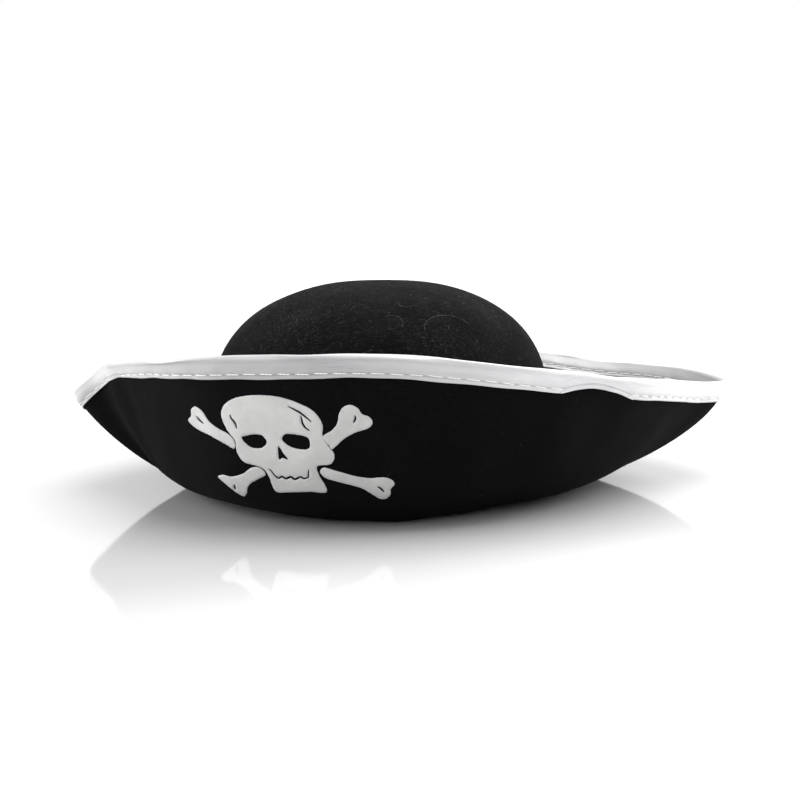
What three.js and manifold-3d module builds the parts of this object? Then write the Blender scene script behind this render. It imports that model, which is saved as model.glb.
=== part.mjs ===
// A black felt pirate hat (tricorne) with a satin edge ribbon and a printed skull and crossbones.
// Millimetres, +Z up. The hat stands on the rim of its head opening, front towards -Y.

import * as THREE from 'three';
import { mergeVertices } from 'three/addons/utils/BufferGeometryUtils.js';
import Module from 'manifold-3d';

const wasm = await Module();
wasm.setup();

// ---- Driving dimensions (mm, degrees) ----

const FELT = 2;                   // thickness of the felt
const GAP = 0.3;                  // air between two pieces that touch on the real hat
const CROWN_HEIGHT = 105.5;       // middle of the felt at the top of the crown
const CROWN_SHOULDER = 44.6;      // where the upright wall turns into the dome
const CROWN_HALF_WIDTH = 85.6;    // half the crown, left to right
const CROWN_HALF_DEPTH = 92;      // half the crown, front to back
const CROWN_POWER = 2.27;         // superellipse power of the dome, 2 is an ellipse
const WALL_TAPER = 1;             // how much narrower the wall is at the floor
const ROLL = 5;                   // radius of the turn from wall to brim
const RIM_FLAT = 1.5;             // width of the flat ring that the hat stands on

const RIBBON = 0.5;               // thickness of the satin ribbon
const RIBBON_SIDE = 9.2;          // how far the ribbon reaches down each side of the felt
const STITCH_FROM_EDGE = 7;       // the seam's distance from the brim's edge
const THREAD_RADIUS = 0.3;

const PRINT = 0.3;                // thickness of the print
const BAND_WIDTH = 22;            // sweatband
const BAND_THICKNESS = 0.6;
const BAND_FOOT = 7;              // height of the sweatband's lower edge
const BAND_STITCH = 2.5;          // the sweatband seam's distance from its lower edge
const LABEL = 0.4;
const LABEL_FOOT = 16;
const LABEL_HEIGHT = 30;
const LABEL_HALF_ANGLE = 9;       // half the label's width, in plan angle round the crown

// The brim's edge, seen from above as x, y and its height z: right tip, back corner, left tip, front.
const EDGE = [
  [178.6, 0, 49.8], [168, 33, 50.6], [149, 67, 49.8], [117, 97, 48.6], [91, 117, 50.8], [56, 145, 50.6],
  [20, 172, 50], [0, 179, 50], [-20, 172, 49.5], [-56, 145, 48], [-91, 117, 46], [-119, 84, 45], [-148, 39.5, 46],
  [-157.5, 7, 50], [-157, -4.3, 53.4], [-143.6, -14.2, 64.6], [-127.5, -54, 72.9], [-90, -105, 80.4],
  [-40, -128.5, 83], [0, -133.5, 83.2], [40, -130.5, 79.6], [70, -119.5, 74.3], [100, -104.5, 68.3],
  [125, -84.5, 62.8], [144, -58, 57.7], [164, -23.5, 52],
];

// How the brim rises, by plan angle: 0 is the right tip, 90 the back, 180 the left tip, 270 the front.
const RIM_LIFT = { 0: 0, 150: 0, 180: 1.6, 225: 3.2, 260: 1, 275: 0, 288: 1.5, 305: 2.2, 335: 0.8 };
const BASE_SLOPE = { 0: 1, 90: 15, 180: 0, 225: 12, 270: 23, 300: 28, 325: 7 };
const EDGE_SLOPE = {
  0: 84, 20: 50, 45: 32, 90: 35, 135: 30, 165: 50, 180: 90, 190: 76, 198: 36, 215: 44, 240: 76,
  270: 84, 305: 80, 322: 50, 345: 66,
};
const BASE_PULL = { 0: 0.395, 90: 0.35, 180: 0.3, 198: 0.46, 235: 0.5, 270: 0.45, 330: 0.5 };
const EDGE_PULL = {
  0: 0.19, 30: 0.3, 90: 0.35, 150: 0.3, 180: 0.11, 190: 0.16, 200: 0.25, 235: 0.42, 270: 0.35,
  330: 0.34,
};

// Rows of points from the crown's top to the brim's edge, and columns round the hat.
const DOME_ROWS = 7;
const WALL_ROWS = 2;
const ROLL_ROWS = 3;
const BRIM_ROWS = 6;
const COLUMN_STEP = 5;
const TIP_ANGLES = [2.5, 87, 93, 177.5, 182.5, 187, 357.5];
const EDGE_SAMPLES = 1500;        // points on the edge curve, where a plan angle is looked up
const LENGTH_STEPS = 60;          // straight steps that measure the length of a brim curve

const COLOURS = {
  felt: [0x101011, 0.95],
  ribbon: [0xc4c4cc, 0.45],
  thread: [0xe6e4df, 0.7],
  print: [0xc3c2be, 0.6],
  blackThread: [0x1c1c1f, 0.7],
  band: [0x17171a, 0.8],
  label: [0xdcdcd8, 0.6],
};

// ---- Plan curves ----

const radians = THREE.MathUtils.degToRad;
const mod = (value, size) => ((value % size) + size) % size;

/** Smooth value at a plan angle, between the stations of a table keyed by angle. */
function station(table, angle) {
  const keys = Object.keys(table).map(Number).sort((a, b) => a - b);
  const at = mod(angle, 360);
  let low = keys.length - 1;
  for (let i = 0; i < keys.length; i += 1) {
    if (keys[i] <= at) low = i;
  }
  const high = (low + 1) % keys.length;
  const span = mod(keys[high] - keys[low], 360) || 360;
  const t = mod(at - keys[low], 360) / span;
  return THREE.MathUtils.lerp(table[keys[low]], table[keys[high]], t * t * (3 - 2 * t));
}

const smoothLoop = (points) => new THREE.CatmullRomCurve3(points, true, 'centripetal');
const planAngle = (point) => mod(THREE.MathUtils.radToDeg(Math.atan2(point.y, point.x)), 360);
const edgeSamples = smoothLoop(EDGE.map((p) => new THREE.Vector3(...p)))
  .getPoints(EDGE_SAMPLES)
  .slice(0, -1)
  .map((point) => ({ point, angle: planAngle(point) }))
  .sort((a, b) => a.angle - b.angle);

/** The brim's edge at a plan angle. */
function edgePoint(angle) {
  const at = mod(angle, 360);
  let next = edgeSamples.findIndex((sample) => sample.angle > at);
  if (next < 0) next = 0;
  const b = edgeSamples[next];
  const a = edgeSamples[mod(next - 1, edgeSamples.length)];
  const t = mod(at - a.angle, 360) / mod(b.angle - a.angle, 360);
  return a.point.clone().lerp(b.point, t);
}

/** Radius at a plan angle of the ellipse that is `inset` inside the crown. */
function crownRadius(angle, inset = 0) {
  const a = CROWN_HALF_WIDTH - inset;
  const b = CROWN_HALF_DEPTH - inset;
  return (a * b) / Math.hypot(b * Math.cos(radians(angle)), a * Math.sin(radians(angle)));
}

/** Point from its plan angle, radius and height. */
function polar(angle, radius, z) {
  return new THREE.Vector3(radius * Math.cos(radians(angle)), radius * Math.sin(radians(angle)), z);
}

// ---- The middle surface of the felt ----

/** Height of the felt's middle surface where the hat stands. */
const baseHeight = (angle) => FELT / 2 + station(RIM_LIFT, angle);

/** Outer side of the flat ring, where the brim starts to rise. */
function brimFoot(angle) {
  return polar(angle, crownRadius(angle, WALL_TAPER) + ROLL + RIM_FLAT, baseHeight(angle));
}

/** The crown from its top down to the flat ring, as [radius, height] pairs without the top point. */
function crownProfile(angle) {
  const profile = [];
  for (let i = 1; i <= DOME_ROWS; i += 1) {
    const u = (i / DOME_ROWS) * (Math.PI / 2);
    const rise = Math.max(Math.cos(u), 0) ** (2 / CROWN_POWER);
    const z = CROWN_SHOULDER + (CROWN_HEIGHT - CROWN_SHOULDER) * rise;
    profile.push([crownRadius(angle) * Math.sin(u) ** (2 / CROWN_POWER), z]);
  }
  const base = baseHeight(angle);
  for (let i = 1; i <= WALL_ROWS; i += 1) {
    const t = i / WALL_ROWS;
    const z = THREE.MathUtils.lerp(CROWN_SHOULDER, base + ROLL, t);
    profile.push([crownRadius(angle, WALL_TAPER * t), z]);
  }
  for (let i = 1; i <= ROLL_ROWS; i += 1) {
    const u = (i / ROLL_ROWS) * (Math.PI / 2);
    const radius = crownRadius(angle, WALL_TAPER) + ROLL * (1 - Math.cos(u));
    profile.push([radius, base + ROLL - ROLL * Math.sin(u)]);
  }
  return profile;
}

/** The brim's curve at a plan angle, from the flat ring to the edge. */
function brimCurve(angle) {
  const foot = brimFoot(angle);
  const edge = edgePoint(angle);
  const size = foot.distanceTo(edge);
  const slope = (degrees) => polar(angle, Math.cos(radians(degrees)), Math.sin(radians(degrees)));
  const leave = slope(station(BASE_SLOPE, angle)).multiplyScalar(size * station(BASE_PULL, angle));
  const arrive = slope(station(EDGE_SLOPE, angle)).multiplyScalar(size * station(EDGE_PULL, angle));
  const curve = new THREE.CubicBezierCurve3(foot, foot.clone().add(leave), edge.clone().sub(arrive), edge);
  curve.arcLengthDivisions = LENGTH_STEPS;
  return curve;
}

/** Point of the brim that is `back` mm from its edge, along the felt. */
function brimPoint(curve, back) {
  return curve.getPointAt(1 - back / curve.getLength());
}

/** Unit normal of the brim's underside, which is the side that shows when the flaps are turned up. */
function brimNormal(angle, back) {
  const step = 0.5;
  const here = brimCurve(angle);
  const reach = Math.min(back + step, here.getLength());
  const outward = brimPoint(here, Math.max(back - step, 0)).sub(brimPoint(here, reach));
  const around = brimPoint(brimCurve(angle + step), back).sub(brimPoint(brimCurve(angle - step), back));
  return around.cross(outward).normalize();
}

/** Point of the brim `back` mm from the edge and `off` mm out of its underside. */
function brimSkin(angle, back, off) {
  return brimPoint(brimCurve(angle), back).addScaledVector(brimNormal(angle, back), off);
}

function columnAngles() {
  const angles = [...TIP_ANGLES];
  for (let angle = 0; angle < 360; angle += COLUMN_STEP) angles.push(angle);
  return angles.sort((a, b) => a - b);
}

const COLUMNS = columnAngles();

// ---- Meshes from rings and patches ----

function geometryFrom(points, triangles) {
  const geometry = new THREE.BufferGeometry();
  const numbers = points.flatMap((p) => p.toArray());
  geometry.setAttribute('position', new THREE.Float32BufferAttribute(numbers, 3));
  geometry.setIndex(signedVolume(points, triangles) < 0 ? triangles.reverse() : triangles);
  geometry.computeVertexNormals();
  return geometry;
}

function signedVolume(points, triangles) {
  let volume = 0;
  for (let i = 0; i < triangles.length; i += 3) {
    const [a, b, c] = triangles.slice(i, i + 3).map((index) => points[index]);
    volume += a.dot(b.clone().cross(c)) / 6;
  }
  return volume;
}

/**
 * Closed skin over rings of points. A ring of one point is a pole; without poles the last ring
 * joins the first.
 */
function ringGeometry(rings) {
  const starts = [];
  const points = [];
  for (const ring of rings) {
    starts.push(points.length);
    points.push(...ring);
  }
  const triangles = [];
  const hasPoles = rings[0].length === 1;
  const count = hasPoles ? rings.length - 1 : rings.length;
  for (let j = 0; j < count; j += 1) {
    const k = (j + 1) % rings.length;
    const size = Math.max(rings[j].length, rings[k].length);
    for (let i = 0; i < size; i += 1) {
      const at = (ring, column) => starts[ring] + (column % rings[ring].length);
      const a = at(j, i);
      const b = at(j, i + 1);
      const c = at(k, i + 1);
      const d = at(k, i);
      if (a !== b) triangles.push(a, b, c);
      if (c !== d) triangles.push(a, c, d);
    }
  }
  return geometryFrom(points, triangles);
}

/** Closed thin body between two grids of points with the same rows and columns. */
function patchGeometry(front, back) {
  const rows = front.length;
  const columns = front[0].length;
  const points = [...front.flat(), ...back.flat()];
  const triangles = [];
  const quad = (a, b, c, d) => triangles.push(a, b, c, a, c, d);
  const at = (side, row, column) => side * rows * columns + row * columns + column;
  for (let r = 0; r < rows - 1; r += 1) {
    for (let c = 0; c < columns - 1; c += 1) {
      quad(at(0, r, c), at(0, r, c + 1), at(0, r + 1, c + 1), at(0, r + 1, c));
      quad(at(1, r, c), at(1, r + 1, c), at(1, r + 1, c + 1), at(1, r, c + 1));
    }
    quad(at(0, r, 0), at(0, r + 1, 0), at(1, r + 1, 0), at(1, r, 0));
    const end = columns - 1;
    quad(at(0, r + 1, end), at(0, r, end), at(1, r, end), at(1, r + 1, end));
  }
  for (let c = 0; c < columns - 1; c += 1) {
    quad(at(0, 0, c + 1), at(0, 0, c), at(1, 0, c), at(1, 0, c + 1));
    quad(at(0, rows - 1, c), at(0, rows - 1, c + 1), at(1, rows - 1, c + 1), at(1, rows - 1, c));
  }
  return geometryFrom(points, triangles);
}

// ---- Felt, ribbon and threads ----

/** Middle-surface points and underside normals of the felt for one column, the top point left out. */
function feltColumn(angle) {
  const crown = crownProfile(angle).map(([radius, z]) => polar(angle, radius, z));
  const curve = brimCurve(angle);
  const length = curve.getLength();
  const down = new THREE.Vector3(0, 0, -1);
  const rows = [];
  crown.slice(0, -1).forEach((point, i) => {
    const before = i === 0 ? new THREE.Vector3(0, 0, CROWN_HEIGHT) : crown[i - 1];
    const along = crown[i + 1].clone().sub(before);
    rows.push({ point, normal: polar(angle + 90, 1, 0).cross(along).normalize() });
  });
  rows.push({ point: crown.at(-1), normal: down });
  rows.push({ point: brimPoint(curve, length), normal: down });
  for (let i = 1; i <= BRIM_ROWS; i += 1) {
    const back = THREE.MathUtils.lerp(length, RIBBON_SIDE, i / BRIM_ROWS);
    rows.push({ point: brimPoint(curve, back), normal: brimNormal(angle, back) });
  }
  for (const back of [RIBBON_SIDE / 2, 0]) {
    rows.push({ point: brimPoint(curve, back), normal: brimNormal(angle, back) });
  }
  return rows;
}

function makeFelt() {
  const columns = COLUMNS.map(feltColumn);
  const ring = (row, off) => columns.map((rows) => (
    rows[row].point.clone().addScaledVector(rows[row].normal, off)
  ));
  const rowCount = columns[0].length;
  const outside = [];
  const inside = [];
  for (let row = 0; row < rowCount; row += 1) {
    outside.push(ring(row, -FELT / 2));
    inside.unshift(ring(row, FELT / 2));
  }
  const top = [new THREE.Vector3(0, 0, CROWN_HEIGHT + FELT / 2)];
  const under = [new THREE.Vector3(0, 0, CROWN_HEIGHT - FELT / 2)];
  return ringGeometry([top, ...outside, ...inside, under]);
}

/** Point beyond the brim's edge: `past` mm further out along the felt, `off` mm to the underside. */
function pastEdge(angle, past, off) {
  const curve = brimCurve(angle);
  const outward = brimPoint(curve, 0).sub(brimPoint(curve, 1)).normalize();
  return brimPoint(curve, 0)
    .addScaledVector(outward, past)
    .addScaledVector(brimNormal(angle, 0), off);
}

/** The ribbon is a channel folded over the edge: outer skin, then back along its inner skin. */
function makeRibbon() {
  const inner = FELT / 2 + GAP;
  const outer = inner + RIBBON;
  const reach = [RIBBON_SIDE, RIBBON_SIDE / 2, 0];
  const ring = (make) => COLUMNS.map(make);
  const side = (back, off) => ring((angle) => brimSkin(angle, back, off));
  const fold = (past, off) => ring((angle) => pastEdge(angle, past, off));
  const corner = Math.SQRT1_2;
  return ringGeometry([
    ...reach.map((back) => side(back, outer)),
    fold(outer * corner, outer * corner),
    fold(outer, 0),
    fold(outer * corner, -outer * corner),
    ...reach.toReversed().map((back) => side(back, -outer)),
    ...reach.map((back) => side(back, -inner)),
    fold(GAP, 0),
    ...reach.toReversed().map((back) => side(back, inner)),
  ]);
}

/** Thread laid in a closed line: four corners round the point and its two directions. */
function makeThread(lineAt) {
  const corners = [[1, 0], [0, 1], [-1, 0], [0, -1]];
  return ringGeometry(corners.map(([off, along]) => COLUMNS.map((angle) => (
    lineAt(angle, off * THREAD_RADIUS, along * THREAD_RADIUS)
  ))));
}

function makeSeamThread(side) {
  const height = FELT / 2 + GAP + RIBBON + GAP + THREAD_RADIUS;
  return makeThread((angle, off, along) => brimSkin(angle, STITCH_FROM_EDGE + along, side * height + off));
}

// ---- Inside of the head opening ----

/** Radius of the crown wall's middle surface at a height above the roll. */
function wallRadius(angle, z) {
  const low = baseHeight(angle) + ROLL;
  const t = THREE.MathUtils.clamp((CROWN_SHOULDER - z) / (CROWN_SHOULDER - low), 0, 1);
  return crownRadius(angle, WALL_TAPER * t);
}

const BAND_OUT = FELT / 2 + GAP;
const BAND_IN = BAND_OUT + BAND_THICKNESS;

/** Height of a point of the sweatband, which follows the lift of the rim. */
const bandHeight = (angle, up) => BAND_FOOT + station(RIM_LIFT, angle) + up;

function makeSweatband() {
  const ring = (up, inset) => COLUMNS.map((angle) => {
    const z = bandHeight(angle, up);
    return polar(angle, wallRadius(angle, z) - inset, z);
  });
  return ringGeometry([
    ring(0, BAND_OUT), ring(BAND_WIDTH, BAND_OUT), ring(BAND_WIDTH, BAND_IN), ring(0, BAND_IN),
  ]);
}

function makeSweatbandThread() {
  const inset = BAND_IN + GAP + THREAD_RADIUS;
  return makeThread((angle, off, along) => {
    const z = bandHeight(angle, BAND_STITCH + along);
    return polar(angle, wallRadius(angle, z) - inset + off, z);
  });
}

function makeLabel() {
  const columns = [-1, -0.5, 0, 0.5, 1].map((side) => 90 + side * LABEL_HALF_ANGLE);
  const grid = (inset) => [0, LABEL_HEIGHT].map((up) => columns.map((angle) => (
    polar(angle, crownRadius(angle, WALL_TAPER) - inset, LABEL_FOOT + up)
  )));
  const outer = BAND_IN + GAP;
  return patchGeometry(grid(outer), grid(outer + LABEL));
}

// ---- The print: outlines drawn in the front view, as x and z, pressed straight back onto the flap ----

const FILM_ANGLES = { from: 210, to: 280, step: 3.5 };
const FILM_TOP = 13;              // how far under the brim's edge the layer starts
const FILM_FOOT = 4;              // how far short of the flat ring it ends
const FILM_ROWS = 10;
const BLOCK_Y = { front: -170, back: -50 }; // the front flap lies between these
const OUTLINE_STEPS = 3;          // straight steps between two points of an outline

/** The layer of the print that lies on the front flap, before it is cut to shape. */
function filmLayer() {
  const grid = (off) => {
    const rows = [];
    for (let i = 0; i <= FILM_ROWS; i += 1) {
      const row = [];
      for (let angle = FILM_ANGLES.from; angle <= FILM_ANGLES.to; angle += FILM_ANGLES.step) {
        const foot = brimCurve(angle).getLength() - FILM_FOOT;
        row.push(brimSkin(angle, THREE.MathUtils.lerp(FILM_TOP, foot, i / FILM_ROWS), off));
      }
      rows.push(row);
    }
    return rows;
  };
  const low = FELT / 2 + GAP;
  return solidFrom(patchGeometry(grid(low), grid(low + PRINT)));
}

function solidFrom(geometry) {
  const bare = geometry.clone();
  bare.deleteAttribute('normal');
  bare.deleteAttribute('uv');
  const merged = mergeVertices(bare, 1e-4);
  return new wasm.Manifold(new wasm.Mesh({
    numProp: 3,
    vertProperties: new Float32Array(merged.attributes.position.array),
    triVerts: new Uint32Array(merged.index.array),
  }));
}

function geometryOf(solid) {
  const mesh = solid.getMesh();
  const numbers = new Float32Array(mesh.vertProperties);
  const geometry = new THREE.BufferGeometry();
  geometry.setAttribute('position', new THREE.BufferAttribute(numbers, 3));
  geometry.setIndex(new THREE.BufferAttribute(new Uint32Array(mesh.triVerts), 1));
  geometry.computeVertexNormals();
  return geometry;
}

/** Front-view outline as a block that runs straight through the front flap. */
function blockOf(shape) {
  const depth = BLOCK_Y.back - BLOCK_Y.front;
  const geometry = new THREE.ExtrudeGeometry(shape, { depth, bevelEnabled: false });
  geometry.rotateX(Math.PI / 2);
  geometry.translate(0, BLOCK_Y.back, 0);
  return solidFrom(geometry);
}

/** Smooth closed curve through hand-placed points. */
function smoothOutline(points) {
  const curve = smoothLoop(points.map(([x, z]) => new THREE.Vector3(x, z, 0)));
  const fine = curve.getPoints(points.length * OUTLINE_STEPS).slice(0, -1);
  return new THREE.Shape(fine.map((p) => new THREE.Vector2(p.x, p.y)));
}

const polygon = (points) => new THREE.Shape(points.map(([x, z]) => new THREE.Vector2(x, z)));

const SKULL = [
  [-72.4, 55.5], [-71, 60], [-66.5, 63.4], [-57.5, 65.5], [-46, 65.4], [-36, 62.6], [-28.5, 58.4],
  [-25, 52.5], [-25.1, 47], [-22.5, 42.4], [-20, 38.3], [-21.5, 34.1], [-28.2, 32.6], [-27.3, 28],
  [-24.8, 23], [-24.4, 19.5], [-32, 19.5], [-41, 19], [-47.8, 18.8], [-49.6, 22], [-50.7, 26.3],
  [-53.2, 30.4], [-57.5, 32.1], [-62.5, 33.4], [-65.6, 38], [-66.1, 43.2], [-70, 48.6],
];
const LEFT_EYE = [[-63, 45.3], [-58, 47], [-53.4, 47], [-51.1, 44], [-54.5, 40.5], [-59.2, 41.1]];
const RIGHT_EYE = [[-43.9, 45.2], [-42, 48], [-32, 46.4], [-30.9, 43.6], [-33, 40.9], [-39.4, 41.6]];
const NOSE = [[-45.7, 42], [-41.4, 35.6], [-44.1, 36.3], [-45.4, 35.4], [-46, 39]];
const MOUTH = [
  [-50.7, 30.6], [-48.3, 27.7], [-46.4, 26], [-44.7, 27.4], [-43, 26], [-40.5, 27.4], [-38.8, 25.8],
  [-36.1, 27.5], [-34.4, 26.4], [-32.4, 27], [-32.1, 31],
];
const CRACKS = [
  [[-40.6, 61], [-34.9, 58], [-30, 53.9]],
  [[-34.7, 57], [-34.1, 53], [-31, 49.7]],
  [[-68, 55.8], [-66.3, 52.7], [-65.3, 49.3]],
];
const MOUTH_WIDTH = 0.9;
const LINE_WIDTH = 0.8;

// Each bone end beside the skull: its outline, and the short line drawn on its knob.
const BONES = {
  upper_left: {
    outline: [
      [-87.8, 56], [-88, 53], [-89.8, 50.4], [-86.4, 47.4], [-78.6, 44.7], [-70.5, 41.2], [-67, 39.6],
      [-66.4, 41.2], [-67.6, 44.2], [-69.6, 46.4], [-74.5, 48.8], [-78.6, 51.6], [-82.2, 56.4],
      [-85.6, 58],
    ],
    mark: [[-85, 53.3], [-83.5, 51.5], [-81.6, 50.1]],
  },
  upper_right: {
    outline: [
      [-24.5, 47.2], [-20.8, 50], [-18.4, 53], [-17.2, 58], [-15, 61], [-11.8, 61.8], [-8.6, 60],
      [-7, 57.6], [-3.6, 56], [-2.2, 53.6], [-4, 51], [-10, 49], [-15.6, 45.8], [-19.6, 42],
      [-21.2, 41.2], [-22.1, 42.9],
    ],
    mark: [[-10.1, 56.9], [-9.9, 55.3], [-10.9, 53.4]],
  },
  lower_left: {
    outline: [
      [-76, 24.2], [-73.8, 25.5], [-69, 25.3], [-63, 27.6], [-59.6, 30.2], [-56.6, 31], [-54, 30.1],
      [-52.6, 27.8], [-56.4, 25], [-60.3, 22.2], [-61.8, 19.6], [-62.4, 16.6], [-64, 14.7], [-67.6, 16.6],
      [-72.4, 20.6],
    ],
    mark: [[-68, 21.1], [-68.1, 19.4], [-67.6, 18.3]],
  },
  lower_right: {
    outline: [
      [-26.9, 30], [-25.4, 32], [-19, 30.3], [-10, 27.6], [-4, 26.7], [2.5, 27], [6, 25.6],
      [7.1, 23.6], [5.2, 20.6], [5.2, 18.4], [3.6, 16.1], [0.6, 15.6], [-3, 18], [-7.5, 21.3],
      [-18.6, 24.9], [-24.6, 27],
    ],
    mark: [[-0.8, 22.4], [0.8, 21.3], [2.2, 19.4]],
  },
};

/** Thin closed outline that follows a line, such as a crack. */
function slit(points, width) {
  const last = points.length - 1;
  const sides = points.map((point, i) => {
    const [ax, az] = points[Math.max(i - 1, 0)];
    const [bx, bz] = points[Math.min(i + 1, last)];
    const half = width / 2 / Math.hypot(bx - ax, bz - az);
    return [(az - bz) * half, (bx - ax) * half];
  });
  const above = points.map(([x, z], i) => [x + sides[i][0], z + sides[i][1]]);
  const below = points.map(([x, z], i) => [x - sides[i][0], z - sides[i][1]]);
  return polygon([...above, ...below.reverse()]);
}

/** The printed layer inside an outline, without its holes. */
function printOf(film, outline, holes) {
  let solid = film.intersect(blockOf(outline));
  for (const hole of holes) {
    solid = solid.subtract(blockOf(hole));
  }
  return geometryOf(solid);
}

function makeSkull(film) {
  return printOf(film, smoothOutline(SKULL), [
    smoothOutline(LEFT_EYE),
    smoothOutline(RIGHT_EYE),
    polygon(NOSE),
    slit(MOUTH, MOUTH_WIDTH),
    ...CRACKS.map((crack) => slit(crack, LINE_WIDTH)),
  ]);
}

const makeBone = (film, { outline, mark }) => (
  printOf(film, smoothOutline(outline), [slit(mark, LINE_WIDTH)])
);

// ---- Assembly ----

function addPiece(group, name, geometry, colour) {
  const [color, roughness] = COLOURS[colour];
  const mesh = new THREE.Mesh(geometry, new THREE.MeshStandardMaterial({ color, roughness, metalness: 0 }));
  mesh.name = name;
  group.add(mesh);
}

/** Moves the hat so that the origin is under the middle of its outline, on the floor. */
function centreOnFloor(group) {
  const box = new THREE.Box3().setFromObject(group);
  const middle = box.getCenter(new THREE.Vector3());
  group.position.set(-middle.x, -middle.y, -box.min.z);
  group.updateMatrixWorld(true);
}

const hat = new THREE.Group();
addPiece(hat, 'felt_body', makeFelt(), 'felt');
addPiece(hat, 'edge_ribbon', makeRibbon(), 'ribbon');
addPiece(hat, 'stitch_needle_thread', makeSeamThread(1), 'thread');
addPiece(hat, 'stitch_bobbin_thread', makeSeamThread(-1), 'thread');
addPiece(hat, 'sweatband', makeSweatband(), 'band');
addPiece(hat, 'sweatband_thread', makeSweatbandThread(), 'blackThread');
addPiece(hat, 'care_label', makeLabel(), 'label');

const film = filmLayer();
addPiece(hat, 'print_skull', makeSkull(film), 'print');
for (const [name, bone] of Object.entries(BONES)) {
  addPiece(hat, `print_bone_${name}`, makeBone(film, bone), 'print');
}
centreOnFloor(hat);

export default hat;
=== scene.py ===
import math

import bmesh
import bpy
import numpy as np
from mathutils import Matrix, Vector, geometry
from mathutils.bvhtree import BVHTree


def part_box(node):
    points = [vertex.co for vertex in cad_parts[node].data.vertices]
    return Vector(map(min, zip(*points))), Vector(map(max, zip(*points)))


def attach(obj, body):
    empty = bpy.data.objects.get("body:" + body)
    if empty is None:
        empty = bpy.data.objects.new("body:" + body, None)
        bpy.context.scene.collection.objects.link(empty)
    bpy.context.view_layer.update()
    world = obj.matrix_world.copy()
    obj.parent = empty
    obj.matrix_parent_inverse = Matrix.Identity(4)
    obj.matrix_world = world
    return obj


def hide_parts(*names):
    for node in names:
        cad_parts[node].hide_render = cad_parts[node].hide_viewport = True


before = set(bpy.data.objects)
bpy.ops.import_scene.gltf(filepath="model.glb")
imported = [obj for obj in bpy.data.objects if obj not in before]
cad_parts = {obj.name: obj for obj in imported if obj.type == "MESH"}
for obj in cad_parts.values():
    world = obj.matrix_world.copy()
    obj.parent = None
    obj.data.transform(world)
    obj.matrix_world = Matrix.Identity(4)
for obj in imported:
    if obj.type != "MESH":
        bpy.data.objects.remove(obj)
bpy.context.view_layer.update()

# A black felt pirate hat. Lengths are millimetres here and become metres where a mesh is made.
MM = 0.001

# ---- Driving dimensions, the same as the frame's ----

FELT = 2.0
CROWN_HEIGHT = 105.5
CROWN_SHOULDER = 44.6
CROWN_HALF_WIDTH = 85.6
CROWN_HALF_DEPTH = 92.0
CROWN_POWER = 2.27
WALL_TAPER = 1.0
ROLL = 5.0
RIM_FLAT = 1.5

EDGE = [
    (178.6, 0, 49.8), (168, 33, 50.6), (149, 67, 49.8), (117, 97, 48.6), (91, 117, 50.8),
    (56, 145, 50.6), (20, 172, 50), (0, 179, 50), (-20, 172, 49.5), (-56, 145, 48), (-91, 117, 46),
    (-119, 84, 45), (-148, 39.5, 46), (-157.5, 7, 50), (-157, -4.3, 53.4), (-143.6, -14.2, 64.6),
    (-127.5, -54, 72.9), (-90, -105, 80.4), (-40, -128.5, 83), (0, -133.5, 83.2), (40, -130.5, 79.6),
    (70, -119.5, 74.3), (100, -104.5, 68.3), (125, -84.5, 62.8), (144, -58, 57.7), (164, -23.5, 52),
]
RIM_LIFT = {0: 0, 150: 0, 180: 1.6, 225: 3.2, 260: 1, 275: 0, 288: 1.5, 305: 2.2, 335: 0.8}
BASE_SLOPE = {0: 1, 90: 15, 180: 0, 225: 12, 270: 23, 300: 28, 325: 7}
EDGE_SLOPE = {
    0: 84, 20: 50, 45: 32, 90: 35, 135: 30, 165: 50, 180: 90, 190: 76, 198: 36, 215: 44, 240: 76,
    270: 84, 305: 80, 322: 50, 345: 66,
}
BASE_PULL = {0: 0.395, 90: 0.35, 180: 0.3, 198: 0.46, 235: 0.5, 270: 0.45, 330: 0.5}
EDGE_PULL = {
    0: 0.19, 30: 0.3, 90: 0.35, 150: 0.3, 180: 0.11, 190: 0.16, 200: 0.25, 235: 0.42, 270: 0.35,
    330: 0.34,
}

# ---- What only the looks need ----

TIPS = (-2.0, 90.0, 182.0)  # plan angles of the hat's three points
FELT_COLUMNS = 400
DOME_ROWS, WALL_ROWS, ROLL_ROWS, BRIM_ROWS = 30, 9, 8, 42
EDGE_BULGE = 0.45  # how far the felt's cut edge rounds out
EDGE_RADIUS = 150.0  # rough radius that turns plan angles into lengths along the edge

RIBBON = 0.38  # thickness of the satin
RIBBON_AIR = 0.15  # between the felt and the satin on both sides
FOLD_EASE = 0.15  # how much further the fold stands off than the sides
LAP_AIR = 0.12  # between the ribbon and the end that laps over it
RIBBON_SIDE = 9.2  # how far it reaches down the outer side
RIBBON_INNER_SIDE = 9.4
RIBBON_COLUMNS = 1400
RIBBON_CUT = 0.0225  # metres, the ribbon's width before it is folded
SEAM = 7.0  # distance of the seam from the edge
STITCH_PITCH = 8.6
STITCH_LENGTH = 6.6
PLY_RADIUS = 0.17
LAP_ANGLES = (99.0, 106.0)  # where the ribbon's two ends lap, beside the back corner
CORNER_ANGLE = 197.0  # where the folded corner by the left tip draws the hem up
CURL_START, CURL_PEAK, CURL_END = 306.5, 315.0, 326.5  # where the outer hem has ridden up
CURL_DEPTH = 4.6

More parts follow.
